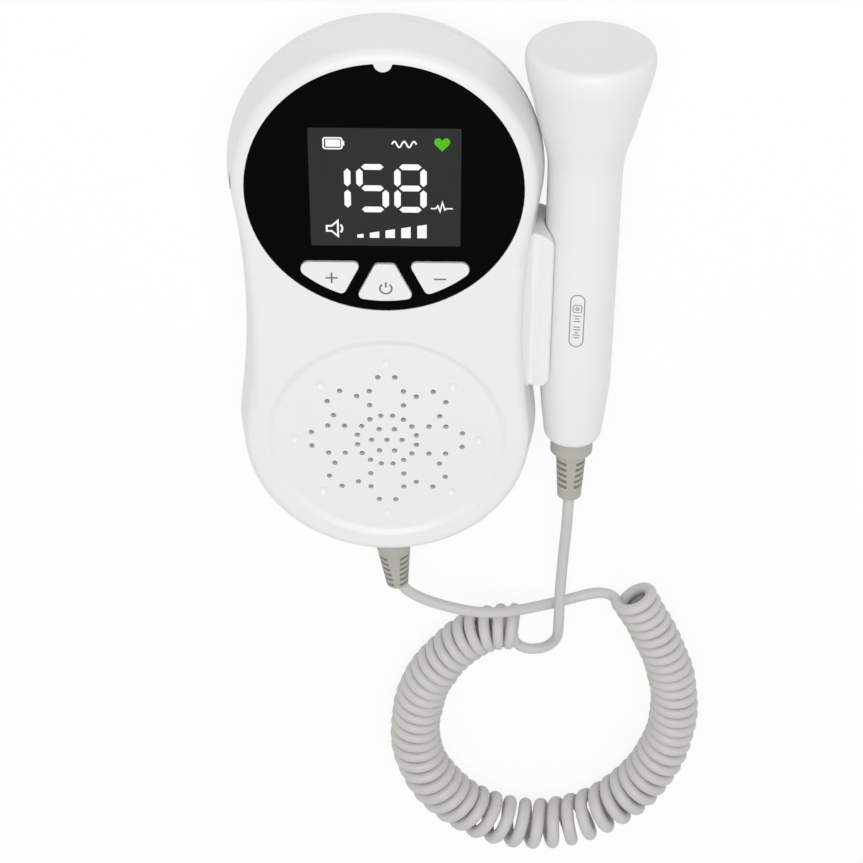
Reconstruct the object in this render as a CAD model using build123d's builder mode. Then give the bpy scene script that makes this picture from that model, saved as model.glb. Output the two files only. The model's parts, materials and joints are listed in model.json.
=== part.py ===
from build123d import *
import os
from math import atan2, cos, degrees, pi, radians, sin, sqrt, tan

# A fetal doppler lying on its back: the monitor, its probe docked in the cradle on the right, and
# a curly cord joining the two. Millimetres. X right, Y towards the head end, Z up out of the
# display. The origin is on the rear face, in the mid-plane, midway between the two round lobes.

# ---------------------------------------------------------------- driving dimensions
# Body plan: a display lobe and a speaker lobe of one radius, joined by long waist arcs
lobe_radius = 41.6
lobe_spacing = 79.1
waist_inset = 3.1
wall = 2.0
rear_edge_radius = 16.4
front_edge_radius = 3.0
front_draft = 2.4
seam_chamfer = 0.25

# Clearances
slip_gap = 0.05
fit_gap = 0.15
drop_in_gap = 0.2
run_gap = 0.3

# Stack from the rear face to the front face
cell_diameter = 14.3
cell_length = 49.5
cell_nub_diameter = 5.5
cell_nub_length = 1.0
cell_roof = 1.5
under_board_room = 2.6
board_thickness = 1.6
switch_height = 3.1
button_travel = 0.5
flange_thickness = 1.0
ledge_thickness = 1.2
window_thickness = 1.8
window_recess = 0.1

# Window and display, the window's rim measured in from the lobe's side
window_margin = 5.6
notch_radius = 2.3
notch_flare = 0.5
lcd_side_margin = 14.5
lcd_end_margin = 16.5
lcd_thickness = 2.6
lcd_rise = 1.1
lcd_frame_wall = 1.8
backlight_thickness = 2.4

# Buttons: three keys along the foot of the window, parted by slanted gaps
button_margin = 3.3
lcd_to_button = 2.45
side_button_inner = 6.05
power_button_step = 0.5
power_button_half_top = 2.55
button_slant = 26.2
side_button_corner = 1.4
side_button_tip = 2.2
power_button_corner = 1.4
button_proud = 0.7
button_edge_radius = 0.3
flange_margin = 1.0
side_switch_x = 14.1
power_switch_margin = 5.1
switch_width = 6.0
switch_body_height = 2.3
plunger_radius = 1.6

# Boards, chips and headphone socket
board_margin = 7.6
chip_thickness = 1.2
processor_width = 12.0
processor_drop = 4.0
amplifier_size = (8.0, 6.0)
amplifier_place = (-15.0, 9.0)
driver_size = (6.0, 9.0)
driver_place = (12.0, 8.0)
capacitor_radius = 1.6
capacitor_places = [(14.0, -11.0), (18.0, -11.0), (-14.0, -12.0)]
plug_radius = 1.75
socket_depth = 14.0
socket_body_length = 12.0
socket_body_width = 6.0
socket_body_height = 4.6
socket_nose_radius = 2.2

# Speaker lobe
speaker_radius = 25.0
speaker_flange_width = 3.5
speaker_flange_thickness = 1.0
gasket_thickness = 0.8
basket_depth = 9.25
basket_foot_radius = 15.4
basket_wall = 0.8
basket_window_radius = 2.6
cone_thickness = 0.4
cone_neck_radius = 6.5
cone_surround = 3.0
cone_fold = 0.8
dust_cap_rise = 1.8
magnet_radius = 14.0
magnet_height = 7.5
grille_margin = 8.0
grille_depth = 0.9
grille_slope_width = 2.4
grille_rim_slope = 0.1
grille_crown = 0.4
grille_hole_radius = 0.77
dimple_radius = 1.25
dimple_depth = 0.5
dimple_ring_radius = 25.6
dimple_count = 8
inner_hole_count = 6
inner_hole_ring_radius = 4.22
outer_hole_count = 16
outer_hole_ring_radius = 8.35
# Pairs of holes along the grille's eight arms: distance out, and to each side of the arm
straight_arm = [(11.7, 4.65), (16.35, 4.65), (20.95, 2.33)]
slanted_arm = [(16.15, 4.6), (20.6, 2.47)]

# Battery bay and its sliding door
bay_start_y = 5.5
bay_wall = 1.6
spring_length = 5.0
spring_radius = 3.5
spring_wire = 0.6
spring_turns = 4
contact_thickness = 0.5
contact_width = 10.0
contact_height = 9.0
door_side_margin = 0.8
door_tail_margin = 2.0
door_lip_height = 4.4
tongue_width = 0.8
tongue_thickness = 0.7
tongue_height = 0.95
rail_thickness = 1.5
door_grip_count = 4
door_grip_pitch = 3.0
door_grip_length = 18.0
door_grip_width = 1.2
door_grip_depth = 0.5

# Screws
board_screw_radius = 1.0
board_boss_radius = 2.5
board_boss_half_spacing = 9.4
case_screw_radius = 1.4
case_screw_margin = 8.0
case_boss_radius = 3.0
case_post_radius = 4.0
case_screw_reach = 6.8
case_head_seat = 8.0
speaker_screw_radius = 1.0
speaker_boss_radius = 2.0
speaker_screw_reach = 2.8
screw_head_height = 1.4
screw_head_margin = 1.3

# Cradle on the right side of the body, and the magnets behind it
cradle_length = 48.0
cradle_corner_radius = 4.0
cradle_root = 3.5
cradle_upper_root = 2.2
lip_reach = 2.55
lip_side_height = 7.5
lip_crest_height = 8.6
lip_crest_back = 2.1
valley_height = 7.2
valley_back = 4.8
lip_root_height = 10.2
cradle_foot_height = 8.9
cradle_foot_bevel = 1.6
dock_magnet_radius = 4.0
dock_magnet_thickness = 2.5
dock_magnet_spacing = 28.0
dock_magnet_skin = 0.6

# Probe, with distances along the body as they are docked
handle_radius = 9.85
head_radius = 16.7
probe_wall = 1.8
probe_lobe_gap = 0.2
table_gap = 0.5
handle_end_y = -46.15
taper_start_y = -25.7
taper_drop = 2.0
taper_power = 1.3
handle_end_fillet = 2.5
flare_start_y = 37.3
flare_end_slope = 0.22
cap_seam_y = 67.9
head_length = 6.5
head_face_radius = 14.6
spigot_length = 4.0
flare_shares = [
    (0.064, 44.4),
    (0.248, 49.1),
    (0.44, 53.8),
    (0.674, 60.7),
    (0.858, 65.2),
    (0.943, cap_seam_y),
]
head_wall = 1.5
crystal_diameter = 8.0
crystal_thickness = 1.0
crystal_ring_radius = 9.0
backing_thickness = 3.0
probe_board_length = 50.0
probe_board_thickness = 1.2
keeper_length = 44.0
keeper_width = 8.0
keeper_thickness = 1.0

# Strain reliefs
relief_neck_radius = 4.6
relief_flange_radius = 6.0
relief_flange_thickness = 2.0
relief_root_radius = 6.0
relief_shoulder_radius = 4.85
relief_shoulder_length = 7.2
relief_tip_radius = 3.25
relief_length = 20.4
relief_lean = 4.5
relief_side_step = 0.7
probe_collar_radius = 6.0
probe_collar_length = 4.9
probe_relief_root_radius = 4.4
probe_relief_tip_radius = 3.45
probe_relief_length = 21.2
slot_rows = 6
slot_columns = 4
slot_pitch = 2.1
slot_width = 1.0
slot_depth = 1.1
slot_length = 3.6

# Cord: a plain lead, the curly stretch as one fat tube, and a plain lead to the probe
cord_diameter = 3.3
coil_diameter = 16.0

# How far a cut runs past the face that it opens
over = 1.0

# ---------------------------------------------------------------- places worked out from those
lobe_y = lobe_spacing / 2
waist_half_width = lobe_radius - waist_inset
tail_y = -lobe_y - lobe_radius
cell_z = wall + drop_in_gap + slip_gap + cell_diameter / 2
bay_roof_z = cell_z + cell_diameter / 2 + run_gap
bay_top_z = bay_roof_z + cell_roof
board_z = bay_top_z + under_board_room
board_top = board_z + board_thickness
flange_z = board_top + switch_height + button_travel + slip_gap
ledge_z = flange_z + flange_thickness + slip_gap
window_z = ledge_z + ledge_thickness
body_height = window_z + window_thickness + window_recess

# The seam lies level with the probe's axis, and the probe's head just clears the table.
seam_z = head_radius + table_gap
front_depth = body_height - seam_z
draft_angle = degrees(atan2(front_draft, front_depth))

waist_radius = (waist_half_width**2 + lobe_y**2 - lobe_radius**2) / (2 * (lobe_radius - waist_half_width))
waist_x = waist_half_width + waist_radius
blend_angle = degrees(atan2(lobe_y, waist_x))


def radius_at_share(share):
    return handle_radius + share * (head_radius - handle_radius)


def lobe_edge(y):
    return sqrt(lobe_radius**2 - (y - lobe_y) ** 2)


# The docked probe lies beside the display lobe, as close as its flare allows.
probe_x = max(lobe_edge(y) + radius_at_share(share) for share, y in flare_shares) + probe_lobe_gap
probe_plane = Plane(origin=(probe_x, 0, seam_z))
probe_axis = Axis((probe_x, 0, seam_z), (0, 1, 0))
head_face_y = cap_seam_y + head_length
trough_radius = handle_radius + run_gap
trough_x = probe_x - trough_radius
lip_x = trough_x + lip_reach

bay_half_width = cell_diameter + 3 * run_gap
cell_x = cell_diameter / 2 + run_gap
bay_length = cell_length + cell_nub_length + spring_length + 2 * contact_thickness
bay_end_y = bay_start_y + bay_length
door_half_width = bay_half_width + bay_wall + door_side_margin
opening_half_width = door_half_width + drop_in_gap
door_start_y = bay_start_y - door_tail_margin
rail_outer = opening_half_width + tongue_width + over

window_radius = lobe_radius - window_margin
lcd_width = 2 * (window_radius - lcd_side_margin)
lcd_height = 2 * (window_radius - lcd_end_margin)
button_ring_radius = window_radius - button_margin
side_button_drop = lcd_height / 2 - lcd_rise + lcd_to_button
power_button_drop = side_button_drop + power_button_step
side_switch_drop = (side_button_drop + sqrt(button_ring_radius**2 - side_switch_x**2)) / 2
power_switch_drop = button_ring_radius - power_switch_margin
board_radius = lobe_radius - board_margin
grille_radius = lobe_radius - grille_margin

lcd_y = lobe_y + lcd_rise
lcd_z = window_z - fit_gap - lcd_thickness
button_top = body_height + button_proud
speaker_top = ledge_z - gasket_thickness
speaker_flange_z = speaker_top - speaker_flange_thickness
magnet_top = speaker_flange_z - basket_depth


def ring_spots(count, radius, start=0.0):
    angles = [radians(start + 360 * step / count) for step in range(count)]
    return [(radius * cos(angle), radius * sin(angle)) for angle in angles]


lcd_frame_side = (lcd_width + lcd_frame_wall) / 2
board_rim_x = sqrt(board_radius**2 - board_boss_half_spacing**2)
board_boss_x = (lcd_frame_side + board_rim_x) / 2
board_boss_spots = [
    (side * board_boss_x, lobe_y + end * board_boss_half_spacing) for side in (-1, 1) for end in (-1, 1)
]
case_screw_offset = (lobe_radius - case_screw_margin) * cos(pi / 4)
case_screw_spots = [
    (x_side * case_screw_offset, y_side * (lobe_y + case_screw_offset))
    for x_side in (-1, 1)
    for y_side in (-1, 1)
]
speaker_screw_ring = speaker_radius + run_gap + speaker_boss_radius
speaker_screw_spots = [(x, y - lobe_y) for x, y in ring_spots(3, speaker_screw_ring, 90)]
socket_z = board_top + socket_body_height / 2
socket_wall_x = lobe_radius - front_draft * (socket_z - seam_z) / front_depth


# ---------------------------------------------------------------- shared outlines and solids
def body_outline(inset):
    # Two equal lobes joined by waist arcs tangent to both, all moved inwards by inset
    sweep_angle = 180 + 2 * blend_angle
    with BuildSketch() as outline:
        with BuildLine():
            CenterArc((0, lobe_y), lobe_radius - inset, -blend_angle, sweep_angle)
            CenterArc((-waist_x, 0), waist_radius + inset, blend_angle, -2 * blend_angle)
            CenterArc((0, -lobe_y), lobe_radius - inset, 180 - blend_angle, sweep_angle)
            CenterArc((waist_x, 0), waist_radius + inset, 180 + blend_angle, -2 * blend_angle)
        make_face()
    return outline.sketch


def rear_form(inset):
    # Outside of the rear shell, or its inside when inset by the wall
    with BuildPart() as form:
        with BuildSketch(Plane.XY.offset(inset)):
            add(body_outline(inset))
        extrude(amount=seam_z - inset)
        fillet(form.faces().sort_by(Axis.Z)[0].edges(), rear_edge_radius - inset)
        if inset == 0:
            chamfer(form.faces().sort_by(Axis.Z)[-1].edges(), seam_chamfer)
    return form.part


def front_form(inset, top_z, edge_radius):
    # Outside of the front shell, or its inside: drafted walls and a rounded front edge
    with BuildPart() as form:
        with BuildSketch(Plane.XY.offset(seam_z)):
            add(body_outline(inset))
        extrude(amount=top_z - seam_z, taper=draft_angle)
        fillet(form.faces().sort_by(Axis.Z)[-1].edges(), edge_radius)
        if inset == 0:
            chamfer(form.faces().sort_by(Axis.Z)[0].edges(), seam_chamfer)
    return form.part


def button_outline(side, grow=0.0):
    # A key of the foot row: a flat top, slanted inner edges and a round foot that follows the
    # window. side is -1 or 1 for the volume keys and 0 for the power key between them.
    slope = tan(radians(button_slant))
    foot_y = lobe_y - button_ring_radius
    drop = power_button_drop if side == 0 else side_button_drop
    top_y = lobe_y - drop
    run = slope * (top_y - foot_y)
    if side == 0:
        half = power_button_half_top
        corners = [(-half, top_y), (half, top_y), (half + run, foot_y), (-half - run, foot_y)]
    else:
        far_x = side * button_ring_radius
        inner_x = side * side_button_inner
        corners = [(far_x, top_y), (inner_x, top_y), (inner_x + side * run, foot_y), (far_x, foot_y)]
    with BuildSketch() as outline:
        with BuildLine():
            Polyline(*corners, close=True)
        make_face()
        with Locations((0, lobe_y)):
            Circle(button_ring_radius, mode=Mode.INTERSECT)
        if side == 0:
            fillet(outline.vertices(), power_button_corner)
        else:
            # The tip farthest out is rounder than the two corners next to the power key.
            fillet(sorted(outline.vertices(), key=lambda corner: side * corner.X)[:-1], side_button_corner)
            fillet(sorted(outline.vertices(), key=lambda corner: side * corner.X)[-1], side_button_tip)
        if grow > 0:
            offset(amount=grow, kind=Kind.ARC)
    return outline.sketch


def push_button(side):
    # A key with the flange that keeps it under the front housing's ledge
    with BuildPart() as button:
        with BuildSketch(Plane.XY.offset(flange_z)):
            add(button_outline(side, flange_margin))
        extrude(amount=flange_thickness)
        with BuildSketch(Plane.XY.offset(flange_z + flange_thickness)):
            add(button_outline(side))
        extrude(amount=button_top - flange_z - flange_thickness)
        fillet(button.faces().sort_by(Axis.Z)[-1].edges(), button_edge_radius)
    return button


def screw(head_radius, shank_radius, head_top, shank_top):
    # Round head below, its seat at head_top, and a plain shank up from it
    with BuildSketch(Plane.XY.offset(head_top - screw_head_height)) as head:
        Circle(head_radius)
    with BuildSketch(Plane.XY.offset(head_top)) as shank:
        Circle(shank_radius)
    with BuildPart() as body:
        extrude(head.sketch, amount=screw_head_height)
        extrude(shank.sketch, amount=shank_top - head_top)
    return body.part


def cradle_half(upper):
    # End view of one half of the cradle, carried along the body, with its lip's corners rounded
    # in plan and the probe's trough cut out
    root_x = waist_half_width - (cradle_upper_root if upper else cradle_root)
    with BuildPart() as half:
        with BuildSketch(Plane.XZ.offset(-cradle_length / 2)):
            with BuildLine():
                if upper:
                    side_top = (lip_x, seam_z + lip_side_height)
                    crest = (lip_x - lip_crest_back, seam_z + lip_crest_height)
                    valley = (lip_x - valley_back, seam_z + valley_height)
                    root_top = (root_x, seam_z + lip_root_height)
                    Polyline(root_top, (root_x, seam_z), (lip_x, seam_z), side_top)
                    Spline(side_top, crest, valley, root_top, tangents=[(0, 1), (-1, 1)])
                else:
                    foot_z = seam_z - cradle_foot_height
                    Polyline(
                        (root_x, seam_z),
                        (lip_x, seam_z),
                        (lip_x, foot_z + cradle_foot_bevel),
                        (lip_x - cradle_foot_bevel, foot_z),
                        (root_x, foot_z),
                        close=True,
                    )
            make_face()
        extrude(amount=cradle_length)
        with BuildSketch() as plan:
            with Locations(((root_x + lip_x) / 2, 0)):
                Rectangle(lip_x - root_x, cradle_length)
            fillet(plan.vertices().group_by(Axis.X)[-1], cradle_corner_radius)
        extrude(amount=body_height, mode=Mode.INTERSECT)
        with BuildSketch(Plane.XZ.offset(-cradle_length / 2)):
            with Locations((probe_x, seam_z)):
                Circle(trough_radius)
        extrude(amount=cradle_length, mode=Mode.SUBTRACT)
    return half.part


def slot_cutters(plane, first, root, tip, span):
    # Rows of slots round a strain relief, with a rib left between each two columns
    with BuildPart() as cutters:
        for row in range(slot_rows):
            along = first + row * slot_pitch
            radius = root + (tip - root) * along / span
            with BuildSketch(plane.offset(along)):
                with PolarLocations(radius, slot_columns, start_angle=180 / slot_columns):
                    Rectangle(2 * slot_depth, slot_length)
            extrude(amount=slot_width)
    return cutters.part


# ---------------------------------------------------------------- what passes through both shells
# The lower strain relief's neck, the dock magnets' pockets and the screws' shanks
with BuildPart() as relief_hole:
    with BuildSketch(Plane.XZ.offset(-tail_y + over)):
        with Locations((0, seam_z)):
            Circle(relief_neck_radius + fit_gap)
    extrude(amount=-wall - 2 * over)

dock_magnet_spots = [-dock_magnet_spacing / 2, dock_magnet_spacing / 2]
dock_magnet_x = trough_x - dock_magnet_skin - slip_gap - dock_magnet_thickness
with BuildPart() as magnet_pockets:
    with BuildSketch(Plane.YZ.offset(dock_magnet_x - over)):
        with Locations(*[(y, seam_z) for y in dock_magnet_spots]):
            Circle(dock_magnet_radius + slip_gap)
    extrude(amount=dock_magnet_thickness + over + slip_gap)

# ---------------------------------------------------------------- front housing
grille_z = body_height - grille_depth
with BuildPart() as front_housing:
    add(front_form(0, body_height, front_edge_radius))
    add(front_form(wall, ledge_z, front_edge_radius - wall), mode=Mode.SUBTRACT)
    add(cradle_half(upper=True))

    # Recess for the window, with the small tab that keys it
    with BuildSketch(Plane.XY.offset(window_z)) as recess:
        with Locations((0, lobe_y)):
            Circle(window_radius + fit_gap)
        with Locations((0, lobe_y + window_radius + fit_gap)):
            Circle(notch_radius, mode=Mode.SUBTRACT)
        fillet(recess.vertices().sort_by(Axis.Y)[-2:], notch_flare)
    extrude(amount=body_height - window_z + over, mode=Mode.SUBTRACT)

    # Openings under the window for the display and the keys
    with BuildSketch(Plane.XY.offset(ledge_z - over)):
        with Locations((0, lcd_y)):
            Rectangle(lcd_width + 2 * run_gap, lcd_height + 2 * run_gap)
        for side in (-1, 0, 1):
            add(button_outline(side, drop_in_gap))
    extrude(amount=ledge_thickness + 2 * over, mode=Mode.SUBTRACT)

    # Shallow dished grille, its floor slightly crowned and its wall a soft slope
    with BuildSketch(Plane.XZ.offset(lobe_y)):
        with BuildLine():
            floor_radius = grille_radius - grille_slope_width
            crown_z = grille_z + grille_crown
            TangentArc((0, crown_z), (floor_radius, grille_z), tangent=(1, 0))
            slope_ends = ((floor_radius, grille_z), (grille_radius, body_height))
            Spline(*slope_ends, tangents=[(1, 0), (1, grille_rim_slope)])
            Polyline(
                (grille_radius, body_height),
                (grille_radius, body_height + over),
                (0, body_height + over),
                (0, crown_z),
            )
        make_face()
    revolve(axis=Axis((0, -lobe_y, 0), (0, 0, 1)), mode=Mode.SUBTRACT)

    # Sound holes: a centre, two rings and eight short arms, and dimples between the arms
    sound_holes = [(0, 0)] + ring_spots(inner_hole_count, inner_hole_ring_radius)
    sound_holes += ring_spots(outer_hole_count, outer_hole_ring_radius, 180 / outer_hole_count)
    for first_angle, rows in ((0, straight_arm), (45, slanted_arm)):
        for quarter in range(4):
            angle = radians(first_angle + 90 * quarter)
            for along, aside in rows:
                for across in (-aside, aside):
                    hole_x = along * cos(angle) - across * sin(angle)
                    hole_y = along * sin(angle) + across * cos(angle)
                    sound_holes.append((hole_x, hole_y))
    with BuildSketch(Plane.XY.offset(ledge_z - over)):
        with Locations(*[(x, y - lobe_y) for x, y in sound_holes]):
            Circle(grille_hole_radius)
    extrude(amount=front_depth, mode=Mode.SUBTRACT)
    # Each dimple is the cap of a sphere, sunk into the crowned floor.
    dimple_level = grille_z + grille_crown * (1 - (dimple_ring_radius / floor_radius) ** 2)
    dimple_ball = (dimple_radius**2 + dimple_depth**2) / (2 * dimple_depth)
    with Locations((0, -lobe_y, dimple_level - dimple_depth + dimple_ball)):
        with PolarLocations(dimple_ring_radius, dimple_count):
            Sphere(dimple_ball, rotation=(90, 0, 0), mode=Mode.SUBTRACT)

    # Posts down from the front wall for the board, the rear housing and the speaker
    with BuildSketch(Plane.XY.offset(board_top)):
        with Locations(*board_boss_spots):
            Circle(board_boss_radius)
    extrude(amount=ledge_z - board_top)
    with BuildSketch(Plane.XY.offset(seam_z)):
        with Locations(*case_screw_spots):
            Circle(case_boss_radius)
    extrude(amount=ledge_z - seam_z)
    with BuildSketch(Plane.XY.offset(speaker_flange_z)):
        with Locations(*speaker_screw_spots):
            Circle(speaker_boss_radius)
    extrude(amount=ledge_z - speaker_flange_z)

    # Pilot holes in those posts
    board_screw_top = ledge_z - slip_gap
    case_screw_top = seam_z + case_screw_reach
    speaker_screw_top = speaker_flange_z + speaker_screw_reach
    with BuildSketch(Plane.XY.offset(board_top - over)):
        with Locations(*board_boss_spots):
            Circle(board_screw_radius + slip_gap)
    extrude(amount=board_screw_top - board_top + over + slip_gap, mode=Mode.SUBTRACT)
    with BuildSketch(Plane.XY.offset(seam_z - over)):
        with Locations(*case_screw_spots):
            Circle(case_screw_radius + slip_gap)
    extrude(amount=case_screw_reach + over + run_gap, mode=Mode.SUBTRACT)
    with BuildSketch(Plane.XY.offset(speaker_flange_z - over)):
        with Locations(*speaker_screw_spots):
            Circle(speaker_screw_radius + slip_gap)
    extrude(amount=speaker_screw_reach + over + run_gap, mode=Mode.SUBTRACT)

    # Holes in the side and tail walls
    with BuildSketch(Plane.YZ.offset(-lobe_radius - over)):
        with Locations((lobe_y, socket_z)):
            Circle(socket_nose_radius + fit_gap)
    extrude(amount=wall + 3 * over, mode=Mode.SUBTRACT)
    add(relief_hole.part, mode=Mode.SUBTRACT)
    add(magnet_pockets.part, mode=Mode.SUBTRACT)

# ---------------------------------------------------------------- rear housing and battery door
rear_shell_outside = rear_form(0)
rear_shell_inside = rear_form(wall)

with BuildPart() as rear_posts:
    with BuildSketch(Plane.XY):
        with Locations(*case_screw_spots):
            Circle(case_post_radius)
    extrude(amount=seam_z)
    add(rear_shell_outside, mode=Mode.INTERSECT)

with BuildPart() as battery_bay:
    with BuildSketch(Plane.XY.offset(wall)):
        with Locations((0, (bay_start_y + bay_end_y) / 2)):
            Rectangle(2 * (bay_half_width + bay_wall), bay_length + 2 * bay_wall)
    extrude(amount=bay_top_z - wall)
    with BuildSketch(Plane.XY.offset(wall)):
        with Locations((0, (bay_start_y + bay_end_y) / 2)):
            Rectangle(2 * bay_half_width, bay_length)
    extrude(amount=bay_roof_z - wall, mode=Mode.SUBTRACT)

rail_start_y = bay_start_y - bay_wall
rail_end_y = lobe_y + lobe_radius - rear_edge_radius
with BuildPart() as rear_housing:
    add(rear_shell_outside)
    add(rear_shell_inside, mode=Mode.SUBTRACT)
    add(cradle_half(upper=False))
    add(rear_posts.part)
    add(battery_bay.part)

    # Rails that the door's tongues run under
    rail_width = rail_outer - bay_half_width - bay_wall
    with BuildSketch(Plane.XY.offset(wall)):
        for side in (-1, 1):
            with Locations((side * (rail_outer - rail_width / 2), (rail_start_y + rail_end_y) / 2)):
                Rectangle(rail_width, rail_end_y - rail_start_y)
    extrude(amount=rail_thickness)

    # Door opening, its higher end in the head wall, and the tongues' grooves
    opening_start_y = door_start_y - drop_in_gap
    opening_end_y = lobe_y + lobe_radius + over
    with BuildSketch(Plane.XY.offset(-over)):
        with Locations((0, (opening_start_y + opening_end_y) / 2)):
            Rectangle(2 * opening_half_width, opening_end_y - opening_start_y)
    extrude(amount=over + wall + drop_in_gap, mode=Mode.SUBTRACT)
    lip_start_y = bay_end_y + bay_wall
    with BuildSketch(Plane.XY.offset(-over)):
        with Locations((0, (lip_start_y + opening_end_y) / 2)):
            Rectangle(2 * opening_half_width, opening_end_y - lip_start_y)
    extrude(amount=over + door_lip_height + drop_in_gap, mode=Mode.SUBTRACT)
    with BuildSketch(Plane.XY.offset(tongue_height - drop_in_gap)):
        with Locations((0, (opening_start_y + opening_end_y) / 2)):
            Rectangle(2 * (opening_half_width + tongue_width), opening_end_y - opening_start_y)
    extrude(amount=tongue_thickness + 2 * drop_in_gap, mode=Mode.SUBTRACT)

    # Screw holes with counterbores from below, then the holes shared with the front housing
    with BuildSketch(Plane.XY.offset(-over)):
        with Locations(*case_screw_spots):
            Circle(case_screw_radius + fit_gap)
    extrude(amount=seam_z + 2 * over, mode=Mode.SUBTRACT)
    with BuildSketch(Plane.XY.offset(-over)):
        with Locations(*case_screw_spots):
            Circle(case_screw_radius + screw_head_margin + fit_gap)
    extrude(amount=case_head_seat + over, mode=Mode.SUBTRACT)
    add(relief_hole.part, mode=Mode.SUBTRACT)
    add(magnet_pockets.part, mode=Mode.SUBTRACT)

with BuildPart() as battery_door:
    add(rear_shell_outside)
    add(rear_shell_inside, mode=Mode.SUBTRACT)
    with BuildSketch(Plane.XY):
        with Locations((0, (door_start_y + opening_end_y) / 2)):
            Rectangle(2 * door_half_width, opening_end_y - door_start_y)
    extrude(amount=door_lip_height, mode=Mode.INTERSECT)
    # Its inside is level under the bay, and rises with the shell past it.
    level_end_y = lip_start_y + drop_in_gap
    with BuildSketch(Plane.XY.offset(wall)):
        with Locations((0, (door_start_y - over + level_end_y) / 2)):
            Rectangle(2 * (door_half_width + over), level_end_y - door_start_y + over)
    extrude(amount=door_lip_height, mode=Mode.SUBTRACT)
    tongue_end_y = bay_end_y
    with BuildSketch(Plane.XY.offset(tongue_height)):
        with Locations((0, (door_start_y + tongue_end_y) / 2)):
            Rectangle(2 * (door_half_width + tongue_width), tongue_end_y - door_start_y)
    extrude(amount=tongue_thickness)
    # Finger grooves across the outside, near the head end
    with BuildSketch(Plane.XY):
        for groove in range(door_grip_count):
            with Locations((0, bay_end_y - door_grip_pitch * groove)):
                SlotOverall(door_grip_length, door_grip_width)
    extrude(amount=door_grip_depth, mode=Mode.SUBTRACT)

# ---------------------------------------------------------------- cells, springs and contacts
with BuildPart() as battery_cells:
    for side in (-1, 1):
        # The left cell's nub points to the head end, the right cell's to the tail end.
        if side < 0:
            can_start = bay_end_y - contact_thickness - cell_nub_length - cell_length
            nub_start = can_start + cell_length
        else:
            nub_start = bay_start_y + contact_thickness
            can_start = nub_start + cell_nub_length
        with BuildSketch(Plane.XZ.offset(-can_start)):
            with Locations((side * cell_x, cell_z)):
                Circle(cell_diameter / 2)
        extrude(amount=-cell_length)
        with BuildSketch(Plane.XZ.offset(-nub_start)):
            with Locations((side * cell_x, cell_z)):
                Circle(cell_nub_diameter / 2)
        extrude(amount=-cell_nub_length)

tail_contact_y = bay_start_y + contact_thickness / 2
head_contact_y = bay_end_y - contact_thickness / 2
with BuildPart() as battery_contacts:
    with Locations((0, head_contact_y, cell_z)):
        Box(2 * cell_x + contact_width, contact_thickness, contact_height)
    with Locations((-cell_x, tail_contact_y, cell_z), (cell_x, tail_contact_y, cell_z)):
        Box(contact_width, contact_thickness, contact_height)

coil_height = spring_length - spring_wire
with BuildPart() as battery_springs:
    for side in (-1, 1):
        if side < 0:
            start_y = bay_start_y + contact_thickness + spring_wire / 2
        else:
            start_y = bay_end_y - contact_thickness - spring_wire / 2 - coil_height
        with BuildLine() as turns:
            centre = (side * cell_x, start_y, cell_z)
            Helix(coil_height / spring_turns, coil_height, spring_radius, center=centre, direction=(0, 1, 0))
        path = turns.wires()[0]
        with BuildSketch(Plane(origin=path @ 0, z_dir=path % 0)):
            Circle(spring_wire / 2)
        sweep(path=path, is_frenet=True)

# ---------------------------------------------------------------- window, display and its stack
with BuildPart() as display_window:
    with BuildSketch(Plane.XY.offset(window_z)) as pane:
        with Locations((0, lobe_y)):
            Circle(window_radius)
        with Locations((0, lobe_y + window_radius + fit_gap)):
            Circle(notch_radius + fit_gap, mode=Mode.SUBTRACT)
        fillet(pane.vertices().sort_by(Axis.Y)[-2:], notch_flare)
        for side in (-1, 0, 1):
            add(button_outline(side, drop_in_gap), mode=Mode.SUBTRACT)
    extrude(amount=window_thickness)

with BuildPart() as lcd_module:
    with BuildSketch(Plane.XY.offset(lcd_z)):
        with Locations((0, lcd_y)):
            Rectangle(lcd_width, lcd_height)
    extrude(amount=lcd_thickness)

frame_inner_width = lcd_width - lcd_frame_wall
frame_inner_height = lcd_height - lcd_frame_wall
with BuildPart() as lcd_frame:
    with BuildSketch(Plane.XY.offset(board_top)):
        with Locations((0, lcd_y)):
            Rectangle(frame_inner_width + 2 * lcd_frame_wall, frame_inner_height + 2 * lcd_frame_wall)
            Rectangle(frame_inner_width, frame_inner_height, mode=Mode.SUBTRACT)
    extrude(amount=lcd_z - board_top)

with BuildPart() as backlight_panel:
    with BuildSketch(Plane.XY.offset(board_top)):
        with Locations((0, lcd_y)):
            Rectangle(frame_inner_width - 2 * run_gap, frame_inner_height - 2 * run_gap)
    extrude(amount=backlight_thickness)

# ---------------------------------------------------------------- main board and what it carries
with BuildPart() as main_board:
    with BuildSketch(Plane.XY.offset(board_z)):
        with Locations((0, lobe_y)):
            Circle(board_radius)
        with Locations(*case_screw_spots):
            Circle(case_boss_radius + run_gap, mode=Mode.SUBTRACT)
        with Locations(*board_boss_spots):
            Circle(board_screw_radius + fit_gap, mode=Mode.SUBTRACT)
    extrude(amount=board_thickness)

with BuildPart() as board_chips:
    with BuildSketch(Plane.XY.offset(board_z)):
        with Locations((0, lobe_y - processor_drop)):
            Rectangle(processor_width, processor_width)
        for (x, y), size in ((amplifier_place, amplifier_size), (driver_place, driver_size)):
            with Locations((x, lobe_y + y)):
                Rectangle(*size)
        with Locations(*[(x, lobe_y + y) for x, y in capacitor_places]):
            Circle(capacitor_radius)
    extrude(amount=-chip_thickness)

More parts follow.
